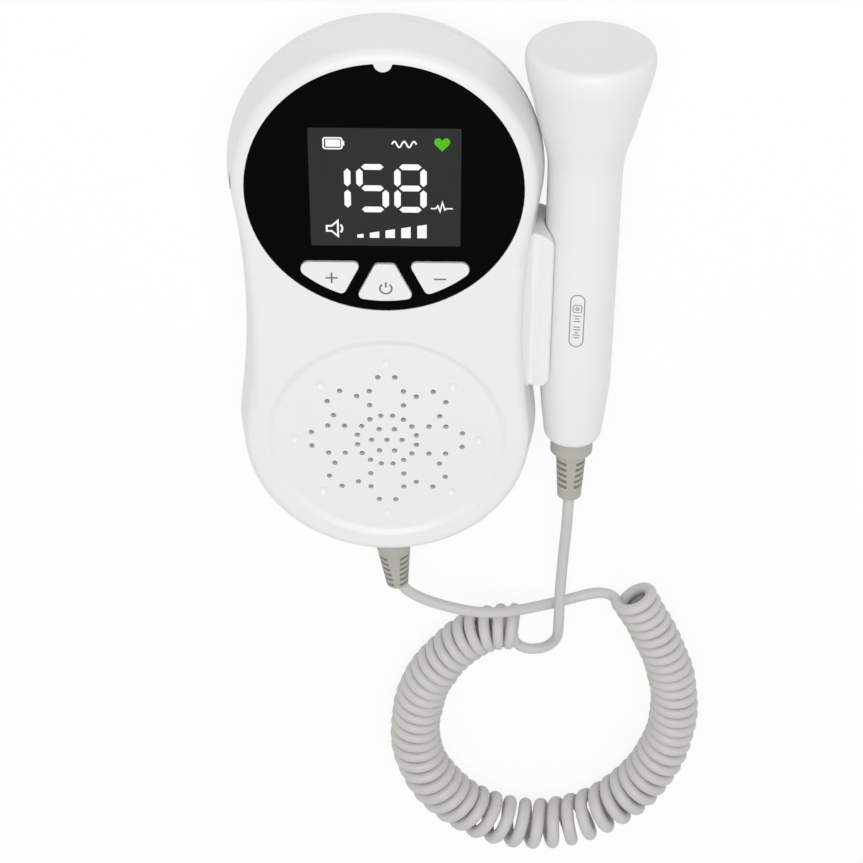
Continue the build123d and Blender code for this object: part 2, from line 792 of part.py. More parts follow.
switch_spots = [
    (-side_switch_x, lobe_y - side_switch_drop),
    (0, lobe_y - power_switch_drop),
    (side_switch_x, lobe_y - side_switch_drop),
]
with BuildPart() as key_switches:
    with BuildSketch(Plane.XY.offset(board_top)):
        with Locations(*switch_spots):
            Rectangle(switch_width, switch_width)
    extrude(amount=switch_body_height)
    with BuildSketch(Plane.XY.offset(board_top + switch_body_height)):
        with Locations(*switch_spots):
            Circle(plunger_radius)
    extrude(amount=switch_height - switch_body_height)

socket_mouth_x = -socket_wall_x + drop_in_gap
socket_body_x = -lobe_radius + wall + front_draft + over
with BuildPart() as headphone_jack:
    with BuildSketch(Plane.XY.offset(board_top)):
        with Locations((socket_body_x + socket_body_length / 2, lobe_y)):
            Rectangle(socket_body_length, socket_body_width)
    extrude(amount=socket_body_height)
    with BuildSketch(Plane.YZ.offset(socket_mouth_x)):
        with Locations((lobe_y, socket_z)):
            Circle(socket_nose_radius)
    extrude(amount=socket_body_x - socket_mouth_x)
    with BuildSketch(Plane.YZ.offset(socket_mouth_x)):
        with Locations((lobe_y, socket_z)):
            Circle(plug_radius + slip_gap)
    extrude(amount=socket_depth, mode=Mode.SUBTRACT)

board_screw = screw(board_screw_radius + screw_head_margin, board_screw_radius, board_z, board_screw_top)
with BuildPart() as board_screws:
    with Locations(*board_boss_spots):
        add(board_screw)

case_screw = screw(case_screw_radius + screw_head_margin, case_screw_radius, case_head_seat, case_screw_top)
with BuildPart() as housing_screws:
    with Locations(*case_screw_spots):
        add(case_screw)

volume_up_button = push_button(-1)
power_button = push_button(0)
volume_down_button = push_button(1)

# ---------------------------------------------------------------- loudspeaker
speaker_plane = Plane.XZ.offset(lobe_y)
speaker_axis = Axis((0, -lobe_y, 0), (0, 0, 1))
cone_rim_radius = speaker_radius - speaker_flange_width
with BuildPart() as speaker_gasket:
    with BuildSketch(Plane.XY.offset(speaker_top)):
        with Locations((0, -lobe_y)):
            Circle(speaker_radius)
            Circle(cone_rim_radius, mode=Mode.SUBTRACT)
    extrude(amount=gasket_thickness)

with BuildPart() as speaker_frame:
    foot_hole = cone_neck_radius
    with BuildSketch(speaker_plane):
        with BuildLine():
            Polyline(
                (foot_hole, magnet_top),
                (basket_foot_radius, magnet_top),
                (cone_rim_radius + 2 * basket_wall, speaker_flange_z),
                (speaker_radius, speaker_flange_z),
                (speaker_radius, speaker_top),
                (cone_rim_radius, speaker_top),
                (cone_rim_radius, speaker_flange_z),
                (basket_foot_radius - basket_wall, magnet_top + basket_wall),
                (foot_hole, magnet_top + basket_wall),
                close=True,
            )
        make_face()
    revolve(axis=speaker_axis)
    basket_mid_z = (magnet_top + speaker_flange_z) / 2
    with BuildSketch(Plane(origin=(0, -lobe_y, basket_mid_z), z_dir=(1, 0, 0))) as basket_window:
        Circle(basket_window_radius)
    for turn in range(3):
        window_cut = extrude(basket_window.sketch, amount=speaker_radius, both=True, mode=Mode.PRIVATE)
        add(window_cut.rotate(speaker_axis, 60 * turn), mode=Mode.SUBTRACT)

with BuildPart() as speaker_magnet:
    with BuildSketch(Plane.XY.offset(magnet_top - magnet_height)):
        with Locations((0, -lobe_y)):
            Circle(magnet_radius)
    extrude(amount=magnet_height)
    chamfer(speaker_magnet.edges().group_by(Axis.Z)[0], seam_chamfer * 2)

with BuildPart() as speaker_cone:
    # Surround at the rim, the paper cone down to its neck, and a dust cap over the middle
    rim_z = speaker_top - cone_thickness
    neck_z = magnet_top + basket_wall + 3 * run_gap
    cone_edge_radius = cone_rim_radius - cone_surround
    cap_edge_z = neck_z + 2 * run_gap
    upper_side = [
        (0, cap_edge_z + dust_cap_rise),
        (cone_neck_radius * 0.6, cap_edge_z + dust_cap_rise * 2 / 3),
        (cone_neck_radius, cap_edge_z),
        (cone_edge_radius, rim_z - cone_fold),
        (cone_edge_radius + cone_fold, rim_z),
        (cone_rim_radius - cone_fold, rim_z),
        (cone_rim_radius - slip_gap, rim_z - cone_thickness / 4),
    ]
    lower_side = [(x, z - cone_thickness) for x, z in reversed(upper_side)]
    with BuildSketch(speaker_plane):
        with BuildLine():
            Polyline(*upper_side, *lower_side, close=True)
        make_face()
    revolve(axis=speaker_axis)

speaker_screw = screw(
    speaker_screw_radius + screw_head_margin, speaker_screw_radius, speaker_flange_z, speaker_screw_top
)
with BuildPart() as speaker_screws:
    with Locations(*speaker_screw_spots):
        add(speaker_screw)

# ---------------------------------------------------------------- dock magnets
with BuildPart() as dock_magnets:
    with BuildSketch(Plane.YZ.offset(dock_magnet_x)):
        with Locations(*[(y, seam_z) for y in dock_magnet_spots]):
            Circle(dock_magnet_radius)
    extrude(amount=dock_magnet_thickness)


# ---------------------------------------------------------------- probe
def taper_radius(y):
    # The handle thins towards its end, slowly at first
    share = (taper_start_y - y) / (taper_start_y - handle_end_y)
    return handle_radius - taper_drop * share**taper_power


def handle_half_section(inset, start_y):
    # Half section about the probe's axis: taper, straight grip, flare up to the head cap
    taper_length = taper_start_y - start_y
    taper_steps = [taper_start_y - taper_length * left / 3 for left in (3, 2, 1, 0)]
    taper_points = [(taper_radius(y) - inset, y) for y in taper_steps]
    flare_points = [(radius_at_share(share) - inset, y) for share, y in flare_shares]
    with BuildSketch() as section:
        with BuildLine():
            Polyline((0, start_y), taper_points[0])
            Spline(*taper_points)
            flare_start = (handle_radius - inset, flare_start_y)
            Line(taper_points[-1], flare_start)
            Spline(flare_start, *flare_points, tangents=[(0, 1), (flare_end_slope, 1)])
            Polyline(flare_points[-1], (0, cap_seam_y), (0, start_y))
        make_face()
    return section.sketch


with BuildPart() as probe_handle:
    with BuildSketch(probe_plane):
        add(handle_half_section(0, handle_end_y))
    revolve(axis=probe_axis)
    fillet(probe_handle.edges().filter_by(GeomType.CIRCLE).sort_by(Axis.Y)[0], handle_end_fillet)
    with BuildSketch(probe_plane):
        add(handle_half_section(probe_wall, handle_end_y + probe_wall))
    revolve(axis=probe_axis, mode=Mode.SUBTRACT)
    with BuildSketch(Plane.XZ.offset(-handle_end_y + over)):
        with Locations((probe_x, seam_z)):
            Circle(relief_neck_radius + fit_gap)
    extrude(amount=-probe_wall - 2 * over, mode=Mode.SUBTRACT)

cap_radius = radius_at_share(flare_shares[-1][0])
spigot_radius = radius_at_share(flare_shares[3][0]) - probe_wall
spigot_start_y = cap_seam_y - spigot_length
pocket_radius = cap_radius - probe_wall
with BuildPart() as probe_head_cap:
    with BuildSketch(probe_plane):
        with BuildLine():
            widest_y = cap_seam_y + head_length / 2
            Polyline((0, spigot_start_y), (spigot_radius, spigot_start_y), (spigot_radius, cap_seam_y))
            cap_start = (cap_radius, cap_seam_y)
            Line((spigot_radius, cap_seam_y), cap_start)
            Spline(cap_start, (head_radius, widest_y), tangents=[(flare_end_slope, 1), (0, 1)])
            Spline((head_radius, widest_y), (head_face_radius, head_face_y), tangents=[(0, 1), (-1, 0)])
            Polyline((head_face_radius, head_face_y), (0, head_face_y), (0, spigot_start_y))
        make_face()
    revolve(axis=probe_axis)
    with BuildSketch(Plane.XZ.offset(-spigot_start_y + over)):
        with Locations((probe_x, seam_z)):
            Circle(spigot_radius - probe_wall)
    extrude(amount=-spigot_length - 2 * over, mode=Mode.SUBTRACT)
    pocket_depth = head_length - head_wall - run_gap
    with BuildSketch(Plane.XZ.offset(-cap_seam_y - run_gap)):
        with Locations((probe_x, seam_z)):
            Circle(pocket_radius)
    extrude(amount=-pocket_depth, mode=Mode.SUBTRACT)

crystal_end_y = head_face_y - head_wall - slip_gap
crystal_y = crystal_end_y - crystal_thickness
with BuildPart() as transducer_crystals:
    with BuildSketch(Plane.XZ.offset(-crystal_y)):
        with Locations((probe_x, seam_z)):
            Circle(crystal_diameter / 2)
            with PolarLocations(crystal_ring_radius, 6):
                Circle(crystal_diameter / 2)
    extrude(amount=-crystal_thickness)

with BuildPart() as transducer_backing:
    with BuildSketch(Plane.XZ.offset(-crystal_y)):
        with Locations((probe_x, seam_z)):
            Circle(pocket_radius - slip_gap)
    extrude(amount=min(backing_thickness, crystal_y - cap_seam_y - run_gap))

board_half_height = sqrt((handle_radius - probe_wall) ** 2 - (probe_board_thickness / 2) ** 2) - fit_gap
with BuildPart() as probe_board:
    with Locations((probe_x, 0, seam_z)):
        Box(probe_board_thickness, probe_board_length, 2 * board_half_height)

keeper_reach = sqrt((handle_radius - probe_wall - slip_gap) ** 2 - (keeper_width / 2) ** 2)
with BuildPart() as probe_keeper_plate:
    with Locations((probe_x - keeper_reach + keeper_thickness / 2, 0, seam_z)):
        Box(keeper_thickness, keeper_length, keeper_width)

# ---------------------------------------------------------------- strain reliefs
lean = radians(relief_lean)
boot_start = (relief_side_step, tail_y - slip_gap, seam_z)
boot_direction = (sin(lean), -cos(lean), 0)
boot_plane = Plane(origin=boot_start, x_dir=(-cos(lean), -sin(lean), 0), z_dir=(0, 0, 1))
boot_end_plane = Plane(origin=boot_start, x_dir=(0, 0, 1), z_dir=boot_direction)
neck_length = wall + 5 * run_gap
with BuildPart() as main_strain_relief:
    # The boot leans to the right from where it leaves the tail wall, and fits its slope.
    with BuildSketch(boot_plane):
        with BuildLine():
            Polyline(
                (0, -wall),
                (relief_root_radius, -wall),
                (relief_root_radius, slip_gap),
                (relief_shoulder_radius, relief_shoulder_length),
                (relief_tip_radius, relief_length - run_gap),
                (relief_tip_radius - run_gap, relief_length),
                (0, relief_length),
                close=True,
            )
        make_face()
    revolve(axis=Axis(boot_start, boot_direction))
    for shell_outside in (rear_shell_outside, front_form(0, body_height, front_edge_radius)):
        add(shell_outside.moved(Location((0, -slip_gap, 0))), mode=Mode.SUBTRACT)
    slot_root = relief_shoulder_radius
    slot_span = relief_length - relief_shoulder_length
    slot_plane = boot_end_plane.offset(relief_shoulder_length)
    add(slot_cutters(slot_plane, slot_width / 2, slot_root, relief_tip_radius, slot_span), mode=Mode.SUBTRACT)
    # Neck through the wall, and the flange behind it
    with BuildSketch(Plane.XZ.offset(-boot_start[1])):
        with Locations((0, seam_z)):
            Circle(relief_neck_radius)
    extrude(amount=-neck_length)
    with BuildSketch(Plane.XZ.offset(-boot_start[1] - neck_length)):
        with Locations((0, seam_z)):
            Circle(relief_flange_radius)
    extrude(amount=-relief_flange_thickness)

probe_relief_end_y = handle_end_y - probe_relief_length
probe_flange_y = handle_end_y + probe_wall + slip_gap
with BuildPart() as probe_strain_relief:
    with BuildSketch(probe_plane):
        with BuildLine():
            ribs_start_y = handle_end_y - probe_collar_length
            Polyline(
                (0, probe_relief_end_y),
                (probe_relief_tip_radius, probe_relief_end_y),
                (probe_relief_root_radius, ribs_start_y),
                (probe_collar_radius, ribs_start_y),
                (probe_collar_radius, handle_end_y - slip_gap),
                (relief_neck_radius, handle_end_y - slip_gap),
                (relief_neck_radius, probe_flange_y),
                (relief_neck_radius + 2 * run_gap, probe_flange_y),
                (relief_neck_radius + 2 * run_gap, probe_flange_y + relief_flange_thickness),
                (0, probe_flange_y + relief_flange_thickness),
                close=True,
            )
        make_face()
    revolve(axis=probe_axis)
    ribs_plane = Plane(origin=(probe_x, ribs_start_y, seam_z), x_dir=(0, 0, 1), z_dir=(0, -1, 0))
    ribs_span = probe_relief_length - probe_collar_length
    rib_radii = (probe_relief_root_radius, probe_relief_tip_radius)
    add(slot_cutters(ribs_plane, slot_width / 2, *rib_radii, ribs_span), mode=Mode.SUBTRACT)


# ---------------------------------------------------------------- cord
def cord_tube(points, diameter, name):
    # Straight runs joined by arcs, each as large as the shorter of its two runs allows
    corners = [Vector(*point) for point in points]
    runs = [after - before for before, after in zip(corners, corners[1:])]
    radii = []
    for run, next_run in zip(runs, runs[1:]):
        half_turn = radians(run.get_angle(next_run)) / 2
        radii.append(0.45 * min(run.length, next_run.length) / tan(half_turn))
    with BuildPart() as tube:
        with BuildLine() as route:
            FilletPolyline(*points, radius=radii)
        path = route.wires()[0]
        with BuildSketch(Plane(origin=path @ 0, z_dir=path % 0)):
            Circle(diameter / 2)
        sweep(path=path)
    expected = pi * diameter**2 / 4 * path.length
    print(f"{name}: length {path.length:.1f}, radii {[round(radius, 1) for radius in radii]}")
    print(f"{name}: volume {tube.part.volume:.1f}, section times length {expected:.1f}")
    return tube


main_lead_points = [
    (1.55, -93.5, 17.2),
    (2.25, -102.3, 17.1),
    (8.5, -108.5, 15.9),
    (17.0, -112.8, 14.9),
    (27.0, -116.3, 13.8),
    (36.5, -117.1, 12.1),
    (45.5, -118.9, 7.1),
    (54.5, -120.1, 2.5),
    (64.0, -117.3, 1.7),
    (73.4, -114.5, 1.8),
]
coil_points = [
    (74.4, -114.4, 8.05),
    (86.7, -136.5, 8.05),
    (91.3, -165.8, 8.05),
    (82.5, -192.8, 8.05),
    (63.5, -210.8, 8.05),
    (40.5, -214.1, 8.05),
    (19.1, -202.9, 8.05),
    (6.2, -179.3, 8.05),
    (8.9, -153.0, 8.05),
    (15.9, -139.9, 8.05),
    (23.4, -131.0, 8.05),
    (31.9, -126.3, 8.05),
    (38.4, -126.5, 8.05),
]
probe_lead_points = [
    (probe_x, -67.6, 17.2),
    (52.2, -78.2, 16.3),
    (52.0, -87.2, 14.0),
    (51.8, -96.7, 11.6),
    (51.6, -106.2, 10.3),
    (51.5, -114.7, 9.9),
    (51.6, -124.2, 9.6),
    (51.8, -131.0, 6.2),
    (51.3, -136.3, 3.0),
    (48.7, -140.3, 1.8),
    (44.0, -141.6, 1.7),
    (39.5, -139.9, 1.7),
    (37.2, -135.8, 2.2),
    (36.6, -131.4, 3.2),
]
cord_main = cord_tube(main_lead_points, cord_diameter, "cord_main")
cord_coil = cord_tube(coil_points, coil_diameter, "cord_coil")
cord_probe = cord_tube(probe_lead_points, cord_diameter, "cord_probe")

# ---------------------------------------------------------------- export, one file per node
nodes = {
    "front_housing": front_housing,
    "rear_housing": rear_housing,
    "display_window": display_window,
    "lcd_module": lcd_module,
    "lcd_frame": lcd_frame,
    "backlight_panel": backlight_panel,
    "main_board": main_board,
    "board_chips": board_chips,
    "key_switches": key_switches,
    "headphone_jack": headphone_jack,
    "board_screws": board_screws,
    "housing_screws": housing_screws,
    "volume_up_button": volume_up_button,
    "power_button": power_button,
    "volume_down_button": volume_down_button,
    "speaker_gasket": speaker_gasket,
    "speaker_frame": speaker_frame,
    "speaker_magnet": speaker_magnet,
    "speaker_cone": speaker_cone,
    "speaker_screws": speaker_screws,
    "battery_door": battery_door,
    "battery_cells": battery_cells,
    "battery_springs": battery_springs,
    "battery_contacts": battery_contacts,
    "dock_magnets": dock_magnets,
    "main_strain_relief": main_strain_relief,
    "probe_handle": probe_handle,
    "probe_head_cap": probe_head_cap,
    "transducer_crystals": transducer_crystals,
    "transducer_backing": transducer_backing,
    "probe_board": probe_board,
    "probe_keeper_plate": probe_keeper_plate,
    "probe_strain_relief": probe_strain_relief,
    "cord_main": cord_main,
    "cord_coil": cord_coil,
    "cord_probe": cord_probe,
}
os.makedirs("parts", exist_ok=True)
for name, piece in nodes.items():
    piece.part.label = name
    export_step(piece.part, f"parts/{name}.step")
print(f"body height {body_height:.2f}, probe axis x {probe_x:.2f}, z {seam_z:.2f}")
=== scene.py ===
import json
from math import radians
import bpy
import numpy as np
from mathutils import Matrix, Vector


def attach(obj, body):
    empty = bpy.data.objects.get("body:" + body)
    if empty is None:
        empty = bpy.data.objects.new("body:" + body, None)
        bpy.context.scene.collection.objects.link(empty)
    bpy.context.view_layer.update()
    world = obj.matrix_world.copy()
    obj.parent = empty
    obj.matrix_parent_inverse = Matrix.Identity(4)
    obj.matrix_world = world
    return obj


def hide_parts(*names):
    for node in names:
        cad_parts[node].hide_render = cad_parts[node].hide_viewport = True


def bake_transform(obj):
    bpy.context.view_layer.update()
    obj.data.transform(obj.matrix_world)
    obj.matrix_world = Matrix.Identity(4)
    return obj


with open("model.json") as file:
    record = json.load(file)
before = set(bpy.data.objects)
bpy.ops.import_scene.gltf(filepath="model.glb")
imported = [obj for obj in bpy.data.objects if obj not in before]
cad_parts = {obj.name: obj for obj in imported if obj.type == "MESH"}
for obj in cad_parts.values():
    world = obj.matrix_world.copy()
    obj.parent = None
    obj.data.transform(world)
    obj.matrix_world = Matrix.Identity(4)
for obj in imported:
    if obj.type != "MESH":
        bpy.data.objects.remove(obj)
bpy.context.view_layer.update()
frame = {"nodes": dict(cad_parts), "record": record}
nodes = frame["nodes"]
scene = bpy.context.scene
mm = 0.001

# The camera stands over the head end.

cameraView = {
    "place": (17.096, 315.868, 517.091),  # mm
    "tilt": 35.87287437,  # degrees, about the camera's own axes
    "roll": -0.21505972,
    "swing": -0.55297576,
    "lens": 90.46,
}


def makeCamera(view):
    data = bpy.data.cameras.new("camera")
    data.sensor_width = 36.0
    data.lens = view["lens"]
    data.clip_start, data.clip_end = 0.01, 20.0
    turn = (Matrix.Rotation(radians(view["roll"]), 3, "Z")
            @ Matrix.Rotation(radians(view["tilt"]), 3, "X")
            @ Matrix.Rotation(radians(view["swing"]), 3, "Y")).transposed()
    camera = bpy.data.objects.new("camera", data)
    camera.matrix_world = Matrix.Translation(Vector(view["place"]) * mm) @ turn.to_4x4()
    scene.collection.objects.link(camera)
    scene.camera = camera


makeCamera(cameraView)
print("camera placed")

# Meshes are made from numpy arrays.


def addMesh(name, points, faces, smooth=True):
    # points in metres; a closed shape whose faces point inwards is turned round by the sign of its volume
    points = np.asarray(points, float)
    first = points[[f[0] for f in faces]]
    volume = 0.0
    for corner in range(1, max(len(f) for f in faces) - 1):
        has = [i for i, f in enumerate(faces) if len(f) > corner + 1]
        b = points[[faces[i][corner] for i in has]]
        c = points[[faces[i][corner + 1] for i in has]]
        volume += np.einsum("ij,ij->i", first[has], np.cross(b, c)).sum()
    if volume < 0:
        faces = [tuple(reversed(f)) for f in faces]
    mesh = bpy.data.meshes.new(name)
    mesh.from_pydata(points.tolist(), [], [tuple(f) for f in faces])
    mesh.polygons.foreach_set("use_smooth", np.full(len(faces), smooth))
    mesh.update()
    piece = bpy.data.objects.new(name, mesh)
    scene.collection.objects.link(piece)
    return piece


def gridFaces(rows, columns):
    # quads between neighbouring rows of a grid whose rows close on themselves
    r = np.arange(rows - 1)[:, None] * columns
    c = np.arange(columns)[None, :]
    n = (c + 1) % columns
    return np.stack([r + c, r + n, r + columns + n, r + columns + c], -1).reshape(-1, 4)


def tubeAlong(name, path, radius, sides):
    # a circle of the given radius carried along the path; its frame is turned no more than the path bends
    path = np.asarray(path, float)
    step = np.gradient(path, axis=0)
    tangent = step / np.linalg.norm(step, axis=1)[:, None]
    side = np.empty_like(path)
    last = np.cross(tangent[0], (0.0, 0.0, 1.0))
    for i, t in enumerate(tangent):
        last = last - t * np.dot(last, t)
        last = last / np.linalg.norm(last)
        side[i] = last
    across = np.cross(tangent, side)
    turn = np.linspace(0.0, 2 * np.pi, sides, endpoint=False)
    radius = np.broadcast_to(radius, len(path))[:, None, None]
    ring = radius * (np.cos(turn)[None, :, None] * side[:, None]
                     + np.sin(turn)[None, :, None] * across[:, None])
    points = (path[:, None] + ring).reshape(-1, 3)
    faces = gridFaces(len(path), sides).tolist()
    faces += [list(range(sides))[::-1], list(range(len(points) - sides, len(points)))]
    piece = addMesh(name, points, faces)
    # UV: once round the tube across, millimetres along the path upwards
    run = np.r_[0.0, np.cumsum(np.linalg.norm(np.diff(path, axis=0), axis=1))] / mm
    loops = np.empty(len(piece.data.loops), int)
    piece.data.loops.foreach_get("vertex_index", loops)
    u = (loops % sides) / sides
    quads = 4 * (len(path) - 1) * sides
    wrapped = u[:quads].reshape(-1, 4)
    wrapped[(wrapped.max(1) - wrapped.min(1) > 0.5)[:, None] & (wrapped < 0.5)] += 1.0
    uv = np.c_[u, run[loops // sides]]
    piece.data.uv_layers.new(name="along").data.foreach_set("uv", uv.ravel().astype(np.float32))
    return piece


def splinePoints(points, steps):
    # the line of the NURBS spline with these control points, read back as a row of points
    curve = bpy.data.curves.new("route", "CURVE")
    curve.dimensions = "3D"
    line = curve.splines.new("NURBS")
    line.points.add(len(points) - 1)
    line.points.foreach_set("co", np.c_[points, np.ones(len(points))].ravel())
    line.order_u = 3
    line.use_endpoint_u = True
    line.resolution_u = steps
    holder = bpy.data.objects.new("route", curve)
    mesh = bpy.data.meshes.new_from_object(holder)
    found = np.empty(3 * len(mesh.vertices))
    mesh.vertices.foreach_get("co", found)
    bpy.data.meshes.remove(mesh)
    bpy.data.objects.remove(holder)
    bpy.data.curves.remove(curve)
    return found.reshape(-1, 3)


# Shaders are written as sums and products of sockets.


class Wire:
    # an output socket that can be worked with as a number
    def __init__(self, graph, socket):
        self.graph, self.socket = graph, socket

    def calc(self, operation, other, turned=False):
        pair = (other, self) if turned else (self, other)
        return self.graph.node("Math", {"operation": operation}, {0: pair[0], 1: pair[1]})

    def __add__(self, other):
        return self.calc("ADD", other)

    def __sub__(self, other):
        return self.calc("SUBTRACT", other)

    def __rsub__(self, other):
        return self.calc("SUBTRACT", other, True)

    def __mul__(self, other):
        return self.calc("MULTIPLY", other)

    def __gt__(self, other):
        return self.calc("GREATER_THAN", other)

    def __lt__(self, other):
        return self.calc("LESS_THAN", other)

    __radd__, __rmul__ = __add__, __mul__


class Graph:
    # one material; place is the Object coordinate in millimetres
    def __init__(self, name):
        self.material = bpy.data.materials.new(name)
        self.material.use_nodes = True
        self.tree = self.material.node_tree
        self.shader = self.tree.nodes["Principled BSDF"]
        metres = self.node("TexCoord", outlet="Object")
        self.place = self.node("VectorMath", {"operation": "SCALE"}, {0: metres, "Scale": 1 / mm})

    def node(self, kind, settings=None, values=None, outlet=0):
        made = self.tree.nodes.new("ShaderNode" + kind)
        for key, value in (settings or {}).items():
            setattr(made, key, value)
        for key, value in (values or {}).items():
            self.feed(made.inputs[key], value)
        return Wire(self, made.outputs[outlet])

    def feed(self, socket, value):
        if isinstance(value, Wire):
            self.tree.links.new(value.socket, socket)
        elif socket.type == "RGBA":
            socket.default_value = (*value, 1.0)
        else:
            socket.default_value = value

    def stretched(self, by, place=None):
        return self.node("VectorMath", {"operation": "MULTIPLY"}, {0: place or self.place, 1: by})

    def noise(self, size, detail=2.0, stretch=None):
        # soft noise between 0 and 1 whose patches are about size mm wide
        place = self.stretched(stretch) if stretch else self.place
        return self.node("TexNoise", {}, {"Vector": place, "Scale": 1.0 / size, "Detail": detail})

    def cells(self, size):
        # distance to the nearest of scattered points that lie about size mm apart
        return self.node("TexVoronoi", {}, {"Vector": self.place, "Scale": 1.0 / size})

    def mix(self, share, low, high):
        return self.node("Mix", {"data_type": "RGBA"}, {0: share, 6: low, 7: high}, 2)

    def axis(self, letter):
        return self.node("SeparateXYZ", {}, {0: self.place}, letter)

    def bump(self, height, depth):
        return self.node("Bump", {}, {"Height": height, "Distance": depth * mm})

    def finish(self, colour, roughness, normal=None, **sockets):
        self.feed(self.shader.inputs["Base Color"], colour)
        self.feed(self.shader.inputs["Roughness"], roughness)
        if normal:
            self.feed(self.shader.inputs["Normal"], normal)
        for key, value in sockets.items():
            self.feed(self.shader.inputs[key.replace("_", " ")], value)
        return self.material


# One finish for each material slot, and a few for printed and lit marks.

mouldings = {
    # colour, second colour, roughness low and high, patch size, grain size, grain depth in mm, specular level
    "white_shell": ((0.855, 0.855, 0.855), (0.87, 0.87, 0.868), 0.27, 0.33, 22.0, 0.22, 0.0012, 0.5),
    "probe_head": ((0.862, 0.862, 0.86), (0.878, 0.878, 0.876), 0.36, 0.42, 16.0, 0.18, 0.0014, 0.5),
    "white_keys": ((0.855, 0.856, 0.862), (0.87, 0.87, 0.874), 0.32, 0.38, 9.0, 0.16, 0.0014, 0.5),
    "black_window": ((0.0012, 0.0015, 0.0014), (0.0018, 0.0021, 0.002), 0.06, 0.1, 30.0, 4.0, 0.0006, 0.02),
    "display_panel": ((0.023, 0.026, 0.025), (0.026, 0.029, 0.028), 0.08, 0.14, 12.0, 3.0, 0.0006, 0.12),
    "dark_plastic": ((0.026, 0.026, 0.027), (0.036, 0.036, 0.036), 0.5, 0.62, 5.0, 0.2, 0.008, 0.5),
    "light_guide": ((0.74, 0.77, 0.79), (0.8, 0.82, 0.83), 0.18, 0.28, 6.0, 0.7, 0.003, 0.5),
    "backing_rubber": ((0.1, 0.085, 0.075), (0.14, 0.12, 0.105), 0.55, 0.7, 3.0, 0.5, 0.02, 0.4),
    "grey_rubber": ((0.43, 0.425, 0.385), (0.475, 0.47, 0.43), 0.5, 0.6, 4.0, 0.14, 0.004, 0.35),
    "key_print": ((0.15, 0.15, 0.152), (0.175, 0.175, 0.178), 0.42, 0.5, 2.0, 0.12, 0.002, 0.4),
    "label_print": ((0.27, 0.27, 0.265), (0.31, 0.31, 0.305), 0.4, 0.5, 2.0, 0.12, 0.002, 0.4),
}


def moulded(name, values):
    # two close colours mixed by soft patches, a roughness that drifts with them and a fine surface grain
    colour, second, smooth, rough, patch, grain, depth, specular = values
    graph = Graph(name)
    drift = graph.noise(patch)
    fine = graph.noise(grain, 3.0)
    return graph.finish(graph.mix(drift, colour, second), drift * (rough - smooth) + smooth,
                        graph.bump(fine, depth), Specular_IOR_Level=specular)


metals = {
    # colour, second colour, roughness low and high, stretch of the brush lines, line size, depth in mm
    "plated_steel": ((0.6, 0.6, 0.585), (0.68, 0.68, 0.66), 0.24, 0.38, (1.0, 1.0, 0.12), 0.12, 0.003),
    "magnet_nickel": ((0.68, 0.665, 0.63), (0.75, 0.74, 0.71), 0.12, 0.22, (0.15, 1.0, 1.0), 0.15, 0.002),
    "speaker_steel": ((0.15, 0.15, 0.155), (0.22, 0.22, 0.22), 0.38, 0.52, (1.0, 0.4, 1.0), 0.3, 0.004),
}


def plated(name, values):
    # brush lines are noise drawn out along one axis; they set the tint, the roughness and a shallow bump
    colour, second, smooth, rough, stretch, size, depth = values
    graph = Graph(name)
    lines = graph.noise(size, 4.0, stretch)
    stain = graph.noise(5.0)
    return graph.finish(graph.mix(lines, colour, second), stain * (rough - smooth) + smooth,
                        graph.bump(lines, depth), Metallic=1.0)


def makeBoardMask():
    # solder mask with lighter traces, which are thin bands of a stepped noise, and small tinned pads
    graph = Graph("circuit_board")
    square = graph.node("TexBrick", {"offset": 0.35, "squash": 0.6}, {
        "Vector": graph.place, "Scale": 0.4, "Mortar Size": 0.0,
        "Color1": (0.2, 0.2, 0.2), "Color2": (0.8, 0.8, 0.8), "Mortar": (0.5, 0.5, 0.5)})
    field = graph.noise(3.5, 0.0) * 6.0 + square * 0.6
    band = graph.node("Math", {"operation": "FRACT"}, {0: field})
    trace = (band > 0.42) * (band < 0.56)
    dots = graph.cells(1.9)
    pad = dots < 0.2
    mask = graph.mix(trace, (0.012, 0.12, 0.045), (0.03, 0.22, 0.085))
    return graph.finish(graph.mix(pad, mask, (0.62, 0.6, 0.56)), 0.34 - pad * 0.1,
                        graph.bump(trace + pad * 1.5, 0.02), Metallic=pad * 0.9)


def makeFerrite():
    # dark sintered grain: small cells pit the surface, and the tint is darker towards each pit's middle as
    # painted shade in the pits
    graph = Graph("ferrite")
    grain = graph.cells(0.35)
    # painted shade: darker colour in the pits, lighter on their rims
    return graph.finish(graph.mix(grain, (0.045, 0.045, 0.047), (0.095, 0.095, 0.098)),
                        graph.noise(0.8) * 0.25 + 0.5, graph.bump(grain, 0.02), Specular_IOR_Level=0.45)


def makePaper():
    # pressed pulp: short fibres from noise drawn out two ways
    graph = Graph("speaker_paper")
    fibres = graph.noise(0.3, 5.0, (1.0, 0.2, 1.0)) + graph.noise(0.3, 5.0, (0.2, 1.0, 1.0))
    return graph.finish(graph.mix(fibres * 0.5, (0.03, 0.03, 0.031), (0.075, 0.074, 0.072)), 0.85,
                        graph.bump(fibres, 0.03), Sheen_Weight=0.15)


def makeFoam():
    # open-celled foam: rounded pits between thin walls, with painted shade that darkens each pit towards its
    # middle
    graph = Graph("foam_rubber")
    pitsAndShade = graph.cells(0.45)
    # painted shade: the colour is darker in the pits and lighter on the walls
    return graph.finish(graph.mix(pitsAndShade, (0.02, 0.02, 0.021), (0.06, 0.06, 0.06)), 0.9,
                        graph.bump(pitsAndShade, 0.12), Sheen_Weight=0.2)


sleeveLook = {
    "bandStart": 46.0,  # y where the coloured band begins
    "caps": (6.7, 60.9),  # below the first and above the second y the cell's steel is bare
    "field": (0.035, 0.045, 0.06),
    "band": (0.42, 0.2, 0.08),
    "steel": (0.62, 0.61, 0.59),
}


